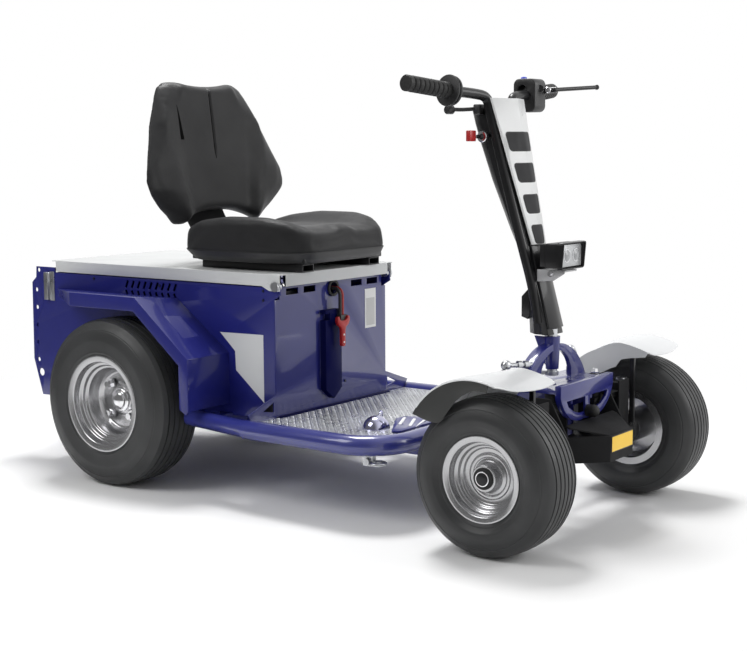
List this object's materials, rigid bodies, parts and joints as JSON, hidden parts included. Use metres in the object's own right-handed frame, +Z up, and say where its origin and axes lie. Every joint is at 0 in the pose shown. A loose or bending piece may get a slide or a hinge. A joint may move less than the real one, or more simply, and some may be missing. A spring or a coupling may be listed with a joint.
{
  "type": "airport baggage tug",
  "caption": "Small electric ride-on tug: seat on a hinged battery box, low footboard, upright handlebar column steering two front wheels under mudguards, tow jaw at the rear.",
  "frame": {"origin": "on the floor under the middle of the vehicle's length and width", "axes": "+X forward, +Y the vehicle's left, +Z up"},
  "size_m": [1.686, 0.786, 0.969],
  "materials": {
    "blue_paint": "gloss",
    "light_paint": "gloss",
    "black_paint": "semi gloss",
    "vinyl": "satin",
    "tyre": "matt",
    "rim": "satin silver",
    "steel": "satin",
    "chrome": "polished",
    "tread_plate": "raised pattern",
    "rubber": "matt",
    "dark_plastic": "matt",
    "white_plastic": "gloss",
    "iron": "matt",
    "battery": "matt"
  },
  "bodies": {
    "chassis": {"deck_frame": "blue_paint", "deck_plate": "tread_plate", "side_panels": "blue_paint", "front_panel": "blue_paint", "battery_tray": "blue_paint", "battery_block": "battery", "battery_lead": "rubber", "battery_plug": "dark_plastic", "grommet": "rubber", "pedals": "dark_plastic", "tie_ring": "steel", "rear_axle": "iron", "wheel_arches": "blue_paint", "tow_hitch": "iron", "tow_pin": "steel", "latches": "steel", "head_bracket": "blue_paint", "link_rods": "steel", "buffers": "rubber", "axle_frame": "iron", "king_pins": "steel", "front_bumper": "black_paint"},
    "seat_lid": {"lid": "light_paint", "lid_pivots": "steel", "seat_rails": "black_paint", "seat_pan": "black_paint", "seat_cushion": "vinyl", "backrest": "vinyl"},
    "steering": {"steering_shaft": "steel", "column_body": "black_paint", "column_cover": "white_plastic", "lower_cover": "black_paint", "handlebar": "black_paint", "grips": "rubber", "guard_disc": "dark_plastic", "park_lever": "black_paint", "control_box": "dark_plastic", "brake_lever": "black_paint", "key_switch": "dark_plastic", "headlamp": "dark_plastic", "lamp_bracket": "white_plastic"},
    "knuckle_body_right": {"knuckle_right": "iron", "mudguard_right": "light_paint", "guard_skirt_right": "dark_plastic"},
    "knuckle_body_left": {"knuckle_left": "iron", "mudguard_left": "light_paint", "guard_skirt_left": "dark_plastic"},
    "tie_rod_body": {"tie_rod": "steel"},
    "front_wheel_right": {"front_tyre_right": "tyre", "front_rim_right": "rim"},
    "front_wheel_left": {"front_tyre_left": "tyre", "front_rim_left": "rim"},
    "rear_wheel_right": {"rear_tyre_right": "tyre", "rear_rim_right": "rim"},
    "rear_wheel_left": {"rear_tyre_left": "tyre", "rear_rim_left": "rim"}
  },
  "joints": [
    {"name": "lid_hinge", "type": "hinge", "parent": "chassis", "child": "seat_lid", "pos_m": [0.039, 0, 0.487], "axis": [0, 1, 0], "range_deg": [0, 60]},
    {"name": "tiller", "type": "hinge", "parent": "chassis", "child": "steering", "pos_m": [0.631, 0, 0.36], "axis": [0, 0, 1], "range_deg": [-40, 40]},
    {"name": "king_pin_right", "type": "hinge", "parent": "chassis", "child": "knuckle_body_right", "pos_m": [0.683, -0.228, 0.19], "axis": [0, 0, 1], "range_deg": [-28, 28]},
    {"name": "king_pin_left", "type": "hinge", "parent": "chassis", "child": "knuckle_body_left", "pos_m": [0.683, 0.228, 0.19], "axis": [0, 0, 1], "range_deg": [-28, 28]},
    {"name": "tie_rod_end", "type": "hinge", "parent": "knuckle_body_right", "child": "tie_rod_body", "pos_m": [0.603, -0.228, 0.13], "axis": [0, 0, 1], "range_deg": [-28, 28]},
    {"name": "front_roll_right", "type": "hinge", "parent": "knuckle_body_right", "child": "front_wheel_right", "pos_m": [0.683, -0.3185, 0.16], "axis": [0, 1, 0], "continuous": true},
    {"name": "rear_roll_right", "type": "hinge", "parent": "chassis", "child": "rear_wheel_right", "pos_m": [-0.368, -0.312, 0.201], "axis": [0, 1, 0], "continuous": true},
    {"name": "front_roll_left", "type": "hinge", "parent": "knuckle_body_left", "child": "front_wheel_left", "pos_m": [0.683, 0.3185, 0.16], "axis": [0, 1, 0], "continuous": true},
    {"name": "rear_roll_left", "type": "hinge", "parent": "chassis", "child": "rear_wheel_left", "pos_m": [-0.368, 0.312, 0.201], "axis": [0, 1, 0], "continuous": true}
  ],
  "couplings": [
    {"joint": "king_pin_right", "follows": "tiller", "ratio": 0.7},
    {"joint": "king_pin_left", "follows": "tiller", "ratio": 0.7},
    {"joint": "tie_rod_end", "follows": "tiller", "ratio": -0.7}
  ]
}
